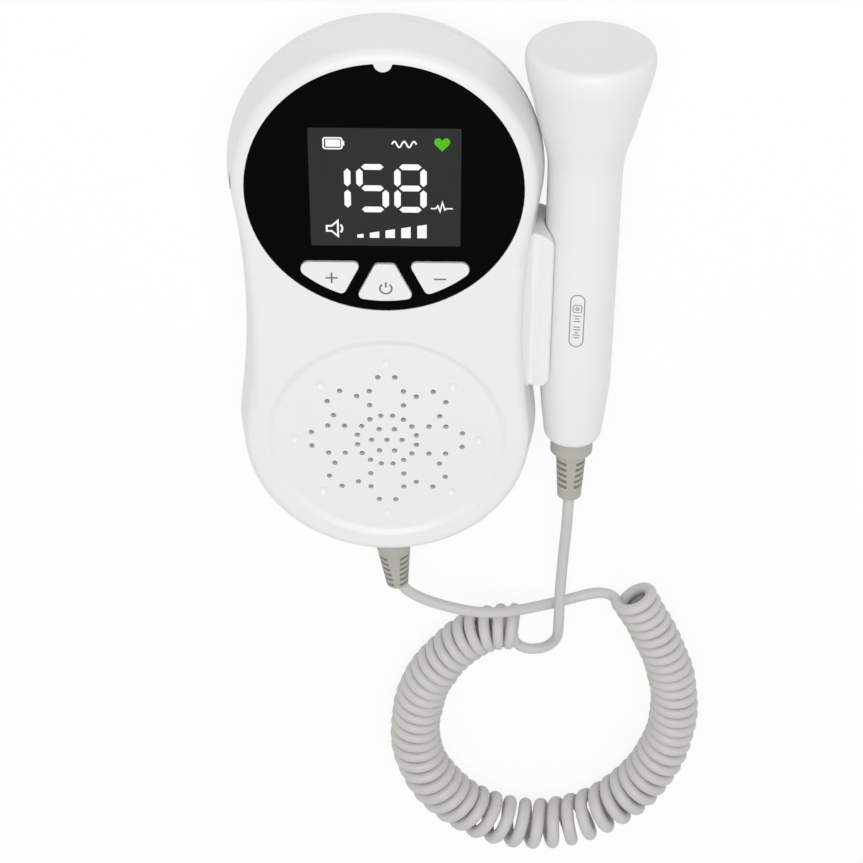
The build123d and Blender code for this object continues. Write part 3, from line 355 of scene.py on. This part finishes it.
def makeSleeve(look):
    # plain printed sleeve: a dark field and a copper-coloured band towards one end, with bare steel caps
    graph = Graph("cell_sleeve")
    along = graph.axis("Y")
    band = along > look["bandStart"]
    cap = (along > look["caps"][1]) + (along < look["caps"][0])
    printed = graph.mix(band, look["field"], look["band"])
    fine = graph.noise(0.5, 3.0)
    return graph.finish(graph.mix(cap, printed, look["steel"]), fine * 0.12 + 0.26,
                        graph.bump(fine, 0.004), Metallic=0.55)


ceramicLook = {
    "faces": (71.9, 72.8),  # y past which a disc's skin is silvered
    "silver": (0.8, 0.79, 0.76),
}


def makeCeramic(look):
    # fired ceramic with silvered faces: the front and rear skins of each disc read as metal
    graph = Graph("piezo_ceramic")
    along = graph.axis("Y")
    silver = (along > look["faces"][1]) + (along < look["faces"][0])
    speck = graph.noise(0.4, 4.0)
    body = graph.mix(speck, (0.68, 0.62, 0.47), (0.78, 0.73, 0.6))
    return graph.finish(graph.mix(silver, body, look["silver"]), 0.42 - silver * 0.16,
                        graph.bump(speck, 0.004), Metallic=silver)


def makeCordSkin():
    # satin skin with faint draw lines along the cord: the noise reads its own UV, round and along
    graph = Graph("grey_cord")
    uv = graph.node("UVMap", {"uv_map": "along"})
    lines = graph.node("TexNoise", {}, {
        "Vector": graph.stretched((14.0, 0.35, 1.0), uv), "Scale": 1.0, "Detail": 3.0})
    patches = graph.noise(7.0)
    return graph.finish(graph.mix(patches, (0.6, 0.592, 0.572), (0.645, 0.638, 0.618)),
                        lines * 0.12 + 0.36, graph.bump(lines, 0.01), Specular_IOR_Level=0.4)


def makeLit(name, colour, second):
    # lit shape on the display: an even glow with a faint cell pattern
    graph = Graph(name)
    glow = graph.mix(graph.cells(0.3), colour, second)
    return graph.finish((0.0, 0.0, 0.0), graph.noise(2.0) * 0.1 + 0.3, Emission_Color=glow,
                        Emission_Strength=1.0, Specular_IOR_Level=0.1)


finishes = {name: moulded(name, values) for name, values in mouldings.items()}
finishes.update({name: plated(name, values) for name, values in metals.items()})
finishes.update({
    "circuit_board": makeBoardMask(), "ferrite": makeFerrite(), "speaker_paper": makePaper(),
    "foam_rubber": makeFoam(), "cell_sleeve": makeSleeve(sleeveLook),
    "piezo_ceramic": makeCeramic(ceramicLook), "grey_cord": makeCordSkin(),
})
finishes["lit_white"] = makeLit("lit_white", (1.0, 1.0, 1.0), (0.93, 0.95, 0.96))
finishes["lit_green"] = makeLit("lit_green", (0.107, 0.521, 0.013), (0.095, 0.48, 0.012))


def coat(piece, finish):
    material = finishes[finish]
    if not piece.material_slots:
        piece.data.materials.append(material)
    for place in piece.material_slots:
        place.link = "OBJECT"
        place.material = material


def settle(piece, body, slotName, finish=None):
    # the finish is the slot's own unless another one is named
    coat(piece, finish or slotName)
    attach(piece, body)


for entry in frame["record"]["subparts"]:
    coat(nodes[entry["node"]], entry["material_slot"])
print("finishes made")

# The cord is one skin from the monitor's strain relief to the probe's.

cordFacts = {
    "diameter": 3.6,  # mm, as every length here but the last two points, which are in metres
    "leadRadius": 1.65,
    "length": 2250.0,
    "mainLead": [(1.55, -93.5, 17.2), (2.25, -102.3, 17.1), (8.5, -108.5, 15.9), (17.0, -112.8, 14.9),
                 (27.0, -116.3, 13.8), (36.5, -117.1, 12.1), (45.5, -118.9, 7.1), (54.5, -120.1, 2.5),
                 (62.0, -117.9, 1.7), (66.6, -117.2, 2.5), (69.2, -117.0, 5.2)],
    "coil": [(73.9, -114.3), (86.7, -136.9), (91.3, -166.0), (82.5, -192.5), (63.5, -210.4), (40.5, -213.7),
             (19.1, -202.5), (6.2, -179.2), (8.9, -152.8), (15.9, -140.3), (23.4, -131.5), (31.9, -126.8),
             (38.4, -127.1)],
    "probeLead": [(38.1, -131.6, 1.8), (37.7, -135.8, 1.8), (39.5, -139.9, 1.7), (44.0, -141.6, 1.7),
                  (48.7, -140.3, 1.8), (51.3, -136.3, 3.0), (51.8, -131.0, 6.2), (51.6, -124.2, 9.6),
                  (51.5, -114.7, 9.9), (51.6, -106.2, 10.3), (51.8, -96.7, 11.6), (52.0, -87.2, 14.0),
                  (52.2, -78.2, 16.3), (52.24, -67.6, 17.2)],
    "exit": (2.25, -101.5, 17.2),
    # places along the coil as shares of its way, the turns' radius there, and the cord's own
    "ringShare": [0.0, 0.165, 0.223, 0.336, 0.44, 0.68, 0.735, 0.79, 0.845, 0.897, 1.0],
    "ringRadius": [5.3, 5.55, 5.9, 6.3, 6.35, 6.4, 6.2, 6.05, 6.1, 5.7, 5.45],
    "wireRadius": [1.7, 1.8, 1.85, 2.0, 2.1, 2.05, 1.85, 1.8, 1.8, 1.8, 1.7],
    "floorGap": 0.05,
    "firstTurn": 0.28,  # where on its ring the coil starts, as a share of a turn from the bottom
    "turns": 57.0,
    "pointsPerTurn": 16,
    # places along the coil again, and the distance from turn to turn there, before it is scaled to
    # the number of turns
    "pitchShare": [0.0, 0.15, 0.25, 0.3, 0.347, 0.393, 0.478, 0.56, 0.602, 0.645, 0.69, 0.737, 0.783,
                   0.86, 1.0],
    "pitch": [3.8, 3.76, 4.0, 4.4, 5.15, 5.8, 5.95, 5.9, 5.45, 5.05, 4.75, 4.4, 3.95, 3.6, 3.6],
    "routeSteps": 24,  # points of the coil's centreline from one control point to the next
    "drift": 0.12,  # how far a turn's radius strays
    "sides": 14,
    "steps": 3,
    "bendStart": (0.0464, -0.1047, 0.012),  # metres: a stretch of the cord from here to the next point
    "bendEnd": (0.0560, -0.0690, 0.012),
}


def coilPoints(facts):
    # a point turns round the coil's centreline while it moves along; its phase grows by one turn per
    # pitch and is counted from the bottom, up on one side of the way along and down on the other
    line = splinePoints(np.c_[facts["coil"], np.zeros(len(facts["coil"]))], facts["routeSteps"])
    run = np.r_[0.0, np.cumsum(np.linalg.norm(np.diff(line, axis=0), axis=1))]
    share = run / run[-1]
    size = np.interp(share, facts["ringShare"], facts["ringRadius"])
    wire = np.interp(share, facts["ringShare"], facts["wireRadius"])
    line[:, 2] = size + wire + facts["floorGap"]
    density = 1.0 / np.interp(share, facts["pitchShare"], facts["pitch"])
    grown = np.r_[0.0, np.cumsum((density[1:] + density[:-1]) / 2 * np.diff(run))]
    grown *= (facts["turns"] - facts["firstTurn"]) / grown[-1]
    turn = np.arange(facts["firstTurn"], facts["turns"], 1 / facts["pointsPerTurn"])
    at = np.interp(turn - facts["firstTurn"], grown, run)
    centre = np.stack([np.interp(at, run, line[:, i]) for i in range(3)], -1)
    tangent = np.stack([np.interp(at, run, np.gradient(line[:, i], run)) for i in range(3)], -1)
    tangent[:, 2] = 0.0
    tangent /= np.linalg.norm(tangent, axis=1)[:, None]
    down = np.array([0.0, 0.0, -1.0])
    side = np.cross(down, tangent)
    # a quadratic spline cuts inside a ring of n points by about cos(pi / n)
    radius = np.interp(at, run, size) / np.cos(np.pi / facts["pointsPerTurn"])
    # slow sines along the turns keep one turn from looking like the next
    phase = 2 * np.pi * turn
    stray = facts["drift"] * (np.sin(phase * 0.231 + 0.6) + 0.6 * np.sin(phase * 0.0913 + 2.0))
    sway = facts["drift"] * 1.2 * np.sin(phase * 0.157 + 1.1)
    ring = (np.cos(phase) * radius)[:, None] * down + (np.sin(phase) * (radius + stray))[:, None] * side
    return centre + ring + tangent * sway[:, None], np.interp(at, run, wire)


def makeCord(facts):
    coil, wire = coilPoints(facts)
    control = np.vstack([facts["mainLead"], coil, facts["probeLead"]])
    path = splinePoints(control, facts["steps"]) * mm
    # the cord's radius goes from control point to control point, with half a step less at both ends
    radii = np.r_[np.full(len(facts["mainLead"]), facts["leadRadius"]), wire,
                  np.full(len(facts["probeLead"]), facts["leadRadius"])]
    radii = np.interp(np.linspace(0.5, len(radii) - 1.5, len(path)), np.arange(len(radii)), radii) * mm
    cord = tubeAlong("cord_skin", path, radii, facts["sides"])
    coat(cord, "grey_cord")
    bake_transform(cord)
    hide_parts("cord_main", "cord_coil", "cord_probe")
    length = np.linalg.norm(np.diff(path, axis=0), axis=1).sum()
    print("cord made,", len(path), "rings, length", round(float(length), 3), "m")


makeCord(cordFacts)

# Printed marks and lit shapes are thin plates.


class Plates:
    # thin plates drawn in millimetres on a plane or a round surface and gathered into one mesh
    def __init__(self):
        self.points, self.faces = [], []

    def add(self, outline, low, high, faces):
        # the outline stands once at the low and once at the high level; faces names the ones of the top
        outline = np.asarray(outline, float)
        count, start = len(outline), sum(len(p) for p in self.points)
        self.points += [np.c_[outline, np.full(count, low)], np.c_[outline, np.full(count, high)]]
        edges = {}
        for face in faces:
            for a, b in zip(face, face[1:] + face[:1]):
                if (b, a) in edges:
                    del edges[(b, a)]
                else:
                    edges[(a, b)] = True
        self.faces += [[start + count + i for i in f] for f in faces]
        self.faces += [[start + i for i in f[::-1]] for f in faces]
        self.faces += [[start + a, start + b, start + count + b, start + count + a] for a, b in edges]

    def fill(self, outline, low, high):
        self.add(outline, low, high, [list(range(len(outline)))])

    def stroke(self, line, width, low, high, closed=False):
        # a band of even width along a line: each point is moved to both sides along the corner's bisector
        line = np.asarray(line, float)
        if closed:
            before, after = np.roll(line, 1, 0), np.roll(line, -1, 0)
        else:
            before = np.vstack([2 * line[0] - line[1], line[:-1]])
            after = np.vstack([line[1:], 2 * line[-1] - line[-2]])
        a = (line - before) / np.linalg.norm(line - before, axis=1)[:, None]
        b = (after - line) / np.linalg.norm(after - line, axis=1)[:, None]
        bisector = np.stack([-(a + b)[:, 1], (a + b)[:, 0]], -1)
        bisector /= np.linalg.norm(bisector, axis=1)[:, None]
        spread = width / 2 / np.maximum(0.3, np.abs((bisector * np.stack([-a[:, 1], a[:, 0]], -1)).sum(1)))
        left, right = line + bisector * spread[:, None], line - bisector * spread[:, None]
        count = len(line)
        last = count if closed else count - 1
        faces = [[i, count + i, count + (i + 1) % count, (i + 1) % count] for i in range(last)]
        self.add(np.vstack([left, right]), low, high, faces)

    def make(self, name, bend=None):
        points = np.vstack(self.points)
        if bend:
            points = bend(points)
        return addMesh(name, points * mm, self.faces, smooth=False)


def arc(centre, radius, start, end, count):
    turn = np.radians(np.linspace(start, end, count))
    return np.stack([centre[0] + radius * np.cos(turn), centre[1] + radius * np.sin(turn)], -1)


def sampled(corners, step=0.3, closed=True):
    # points at an even step along straight runs
    corners = np.asarray(corners, float)
    ends = np.vstack([corners[1:], corners[:1]]) if closed else corners[1:]
    rows = []
    for a, b in zip(corners, ends):
        count = max(1, int(np.ceil(np.linalg.norm(b - a) / step)))
        rows.append(a + (b - a) * (np.arange(count) / count)[:, None])
    if not closed:
        rows.append(corners[-1:])
    return np.vstack(rows)


# What the display shows.

displayLook = {
    "centre": (0.6, 40.65),
    "top": 30.25,  # the window's upper face
    "pane": (38.9, 34.4),
    "paneShift": -0.35,  # from the figures' middle to the pane's
    "paneStep": 0.015,
    "glyphStep": 0.03,
    "corner": 0.5,
    "digits": ((-13.33, "bc"), (-3.53, "afgcd"), (6.18, "abcdefg")),  # middle, lit segments
    "digitHalf": 3.34,
    "digitLevels": (6.13, -0.05, -6.3),  # top, middle and foot
    "segment": 1.66,  # width of a digit's segment
    "gap": 0.95,
    "battery": (-13.525, 12.84),
    "wave": (1.5, 12.65, 6.2, 0.85),  # left end, level, length, height
    "pulse": [(11.4, -5.9), (12.7, -5.9), (13.2, -5.1), (13.8, -6.7), (14.4, -4.1), (15.0, -6.3),
              (15.4, -5.9), (17.1, -5.9)],
    "cone": [(-15.6, -11.3), (-14.35, -11.3), (-12.7, -9.75), (-12.7, -14.35), (-14.35, -12.8),
             (-15.6, -12.8)],
    "soundWave": (-13.2, -12.05),
    "heart": (14.23, 10.5, 4.04, 4.0),  # middle, foot, width, height
    "bars": (-6.07, -1.98, 2.09, 6.18, 10.36),  # right edges of the volume bars
    "barWidths": (1.63, 2.45, 2.45, 2.45, 2.45),
    "barFoot": -14.78,
    "barSlope": 0.1755,
}


def roundedBox(width, height, corner, centre=(0.0, 0.0), count=7):
    w, h = width / 2 - corner, height / 2 - corner
    spots = [(w, h, 0), (-w, h, 90), (-w, -h, 180), (w, -h, 270)]
    return np.vstack([arc((centre[0] + x, centre[1] + y), corner, start, start + 90, count)
                      for x, y, start in spots])


def segment(a, b, width):
    # a bar from a to b whose two ends are points
    a, b = np.array(a, float), np.array(b, float)
    along = (b - a) / np.linalg.norm(b - a)
    out = np.array([-along[1], along[0]]) * width / 2
    inset = along * width / 2
    return [a, a + inset - out, b - inset - out, b, b - inset + out, a + inset + out]


def digit(centre, which, look):
    # the named ones of seven segments; a is the top one, and they go round clockwise with g in the middle
    half, (top, middle, foot) = look["digitHalf"], look["digitLevels"]
    gap, width = look["gap"] / 2, look["segment"]
    left, right = centre - half, centre + half
    ends = {
        "a": ((left, top), (right, top)), "b": ((right, top), (right, middle)),
        "c": ((right, middle), (right, foot)), "d": ((left, foot), (right, foot)),
        "e": ((left, middle), (left, foot)), "f": ((left, top), (left, middle)),
        "g": ((left, middle), (right, middle)),
    }
    bars = []
    for letter in which:
        a, b = (np.array(p) for p in ends[letter])
        along = (b - a) / np.linalg.norm(b - a)
        bars.append(segment(a + along * gap, b - along * gap, width))
    return bars


def makeDisplay(look):
    cx, cy = look["centre"]
    low, pane = look["top"] - 0.01, look["top"] + look["paneStep"]
    high = pane + look["glyphStep"]
    place = lambda points: np.asarray(points, float) + (cx, cy)
    glass = Plates()
    glass.fill(place(roundedBox(*look["pane"], look["corner"], (look["paneShift"], 0.0))), low, pane)
    settle(glass.make("display_pane"), "main", "display_panel")

    lit = Plates()
    fill = lambda outline: lit.fill(place(outline), low, high)
    stroke = lambda line, width, closed=False: lit.stroke(place(line), width, low, high, closed)
    # battery: outline, nub and charge
    stroke(roundedBox(4.73, 3.06, 0.55, look["battery"], 5), 0.42, True)
    fill([(-10.95, 12.2), (-10.55, 12.2), (-10.55, 13.5), (-10.95, 13.5)])
    fill([(-15.33, 11.85), (-11.6, 11.85), (-11.6, 13.9), (-15.33, 13.9)])
    # small wave mark at the head of the display
    left, level, length, height = look["wave"]
    wave = np.linspace(0.0, 1.0, 41)
    stroke(np.stack([left + length * wave, level + height * np.sin(2 * np.pi * 2.5 * wave)], -1), 0.42)
    # number
    for centre, which in look["digits"]:
        for bar in digit(centre, which, look):
            fill(bar)
    # pulse line beside the number
    stroke(look["pulse"], 0.38)
    # loudspeaker
    stroke(look["cone"], 0.5, True)
    stroke(arc(look["soundWave"], 1.65, -44, 44, 13), 0.5)
    # volume bars, whose tops follow one slope
    foot = look["barFoot"]
    top = lambda x: foot + 0.9 + (x + 7.7) * look["barSlope"]
    for right, width in zip(look["bars"], look["barWidths"]):
        left = right - width
        fill([(left, foot), (right, foot), (right, top(right)), (left, top(left))])
    settle(lit.make("display_figures"), "main", "display_panel", "lit_white")

    # heart: x = sin^3, y = the usual sum of cosines, scaled to its width and height
    t = np.linspace(0.0, 2 * np.pi, 49)[:-1]
    middle, foot, width, height = look["heart"]
    rise = (13 * np.cos(t) - 5 * np.cos(2 * t) - 2 * np.cos(3 * t) - np.cos(4 * t)) / 16
    rise = (rise - rise.min()) / np.ptp(rise) * height + foot
    green = Plates()
    green.fill(place(np.stack([np.sin(t) ** 3 * width / 2 + middle, rise], -1)), low, high)
    settle(green.make("display_heart"), "main", "display_panel", "lit_green")
    print("display made")


makeDisplay(displayLook)

# Symbols on the three keys.

keyMarks = {
    "top": 31.05,  # the keys' upper face
    "step": 0.02,
    "size": 3.2,
    "stroke": 0.47,
    "plus": (-14.06, 14.0),
    "power": (0.2, 10.8),
    "powerRadius": 1.58,
    "minus": (14.5, 13.8),
}


def makeKeyMarks(look):
    low, high = look["top"] - 0.01, look["top"] + look["step"]
    a, b = look["size"] / 2, look["stroke"] / 2
    plus, power, minus = Plates(), Plates(), Plates()
    cross = [(a, b), (b, b), (b, a), (-b, a), (-b, b), (-a, b),
             (-a, -b), (-b, -b), (-b, -a), (b, -a), (b, -b), (a, -b)]
    plus.fill(np.array(cross) + look["plus"], low, high)
    minus.fill(np.array([(a, b), (-a, b), (-a, -b), (a, -b)]) + look["minus"], low, high)
    power.stroke(arc(look["power"], look["powerRadius"], 127, 413, 41), look["stroke"], low, high)
    x, y = look["power"]
    power.stroke([(x, y + 0.35), (x, y + 1.95)], look["stroke"], low, high)
    for plates, node in ((plus, "volume_up_button"), (power, "power_button"), (minus, "volume_down_button")):
        settle(plates.make(node.replace("button", "mark")), node, "white_keys", "key_print")
    print("key marks made")


makeKeyMarks(keyMarks)

# Generic mark on the probe's handle.

probeMark = {
    "axis": (52.24, 17.2),  # x and z of the handle's axis
    "radius": 9.85,
    "turn": -5.3,  # degrees from straight up
    "middle": -1.55,  # y
    "width": 3.75,
    "height": 16.4,
    "stroke": 0.3,
    "step": 0.03,
    "sign": (0.0, 3.9),
    "lines": ((1.6, 0.95), (0.75, 0.6), (-0.1, 0.95), (-1.9, 0.95), (-2.75, 0.95), (-3.6, 0.45),
              (-4.45, 0.95), (-5.3, 0.7)),  # level and half length
}


def makeProbeMark(look):
    # drawn flat, then wrapped: the distance across becomes an angle round the handle's axis
    ring, low, high = look["radius"], -0.02, look["step"]
    r = look["width"] / 2
    straight = look["height"] / 2 - r
    outline = np.vstack([arc((0, straight), r, 0, 180, 19), arc((0, -straight), r, 180, 360, 19)])
    plates = Plates()
    plates.stroke(outline, look["stroke"], low, high, True)
    plates.stroke(sampled(roundedBox(2.3, 2.3, 0.4, look["sign"], 4)), 0.24, low, high, True)
    plates.stroke(arc(look["sign"], 0.42, 0, 330, 12), 0.3, low, high, True)
    for y, half in look["lines"]:
        plates.stroke(sampled([(-half, y), (half, y)], closed=False), 0.3, low, high)

    def wrap(points):
        turn = radians(look["turn"]) + points[:, 0] / ring
        out = ring + points[:, 2]
        return np.stack([look["axis"][0] + out * np.sin(turn), look["middle"] + points[:, 1],
                         look["axis"][1] + out * np.cos(turn)], -1)

    settle(plates.make("probe_mark", wrap), "probe", "white_shell", "label_print")
    print("probe mark made")


makeProbeMark(probeMark)

# Light and floor.

studio = {
    "worldLevel": 0.55,
    "lampPlace": (0.03, 0.3, 0.95),
    "lampSize": 0.9,
    "lampPower": 5.0,
    "floorSize": 4.0,
    "floorDrop": 0.00005,
    "floorGlow": 0.9,
    "floorColours": ((0.93, 0.93, 0.93), (0.95, 0.95, 0.95)),
}


def makeStudio(look):
    world = bpy.data.worlds.new("studio")
    scene.world = world
    world.use_nodes = True
    tree = world.node_tree
    back = tree.nodes["Background"]
    path = tree.nodes.new("ShaderNodeLightPath")
    seen = [path.outputs[name] for name in ("Is Camera Ray", "Is Glossy Ray", "Is Transmission Ray")]

    def math(operation, a, b):
        made = tree.nodes.new("ShaderNodeMath")
        made.operation = operation
        for socket, value in zip(made.inputs, (a, b)):
            if isinstance(value, float):
                socket.default_value = value
            else:
                tree.links.new(value, socket)
        return made.outputs[0]

    white = math("MAXIMUM", math("MAXIMUM", seen[0], seen[1]), seen[2])
    level = math("ADD", math("MULTIPLY", white, 1.0 - look["worldLevel"]), look["worldLevel"])
    back.inputs["Color"].default_value = (1.0, 1.0, 1.0, 1.0)
    tree.links.new(level, back.inputs["Strength"])

    data = bpy.data.lights.new("softbox", "AREA")
    data.shape, data.size, data.energy = "DISK", look["lampSize"], look["lampPower"]
    lamp = bpy.data.objects.new("softbox", data)
    lamp.location = look["lampPlace"]
    lamp.rotation_euler = (-Vector(look["lampPlace"])).to_track_quat("-Z", "Y").to_euler()
    scene.collection.objects.link(lamp)

    half, z = look["floorSize"] / 2, -look["floorDrop"]
    mesh = bpy.data.meshes.new("floor")
    corners = [(-half, -half, z), (half, -half, z), (half, half, z), (-half, half, z)]
    mesh.from_pydata(corners, [], [(0, 1, 2, 3)])
    floor = bpy.data.objects.new("floor", mesh)
    scene.collection.objects.link(floor)
    # seen by the camera the floor is part lit, part white of its own; other rays meet plain pale board
    graph = Graph("floor")
    mesh.materials.append(graph.material)
    board = graph.node("BsdfDiffuse", {}, {"Color": graph.mix(graph.noise(60.0), *look["floorColours"])})
    glow = graph.node("Emission", {}, {"Color": (1.0, 1.0, 1.0), "Strength": 1.0})
    camera = graph.node("LightPath", {}, {}, "Is Camera Ray")
    both = graph.node("MixShader", {}, {0: camera * look["floorGlow"], 1: board, 2: glow})
    graph.tree.links.new(both.socket, graph.tree.nodes["Material Output"].inputs["Surface"])
    graph.tree.nodes.remove(graph.shader)
    print("studio made")


makeStudio(studio)
scene.view_settings.view_transform = "Standard"
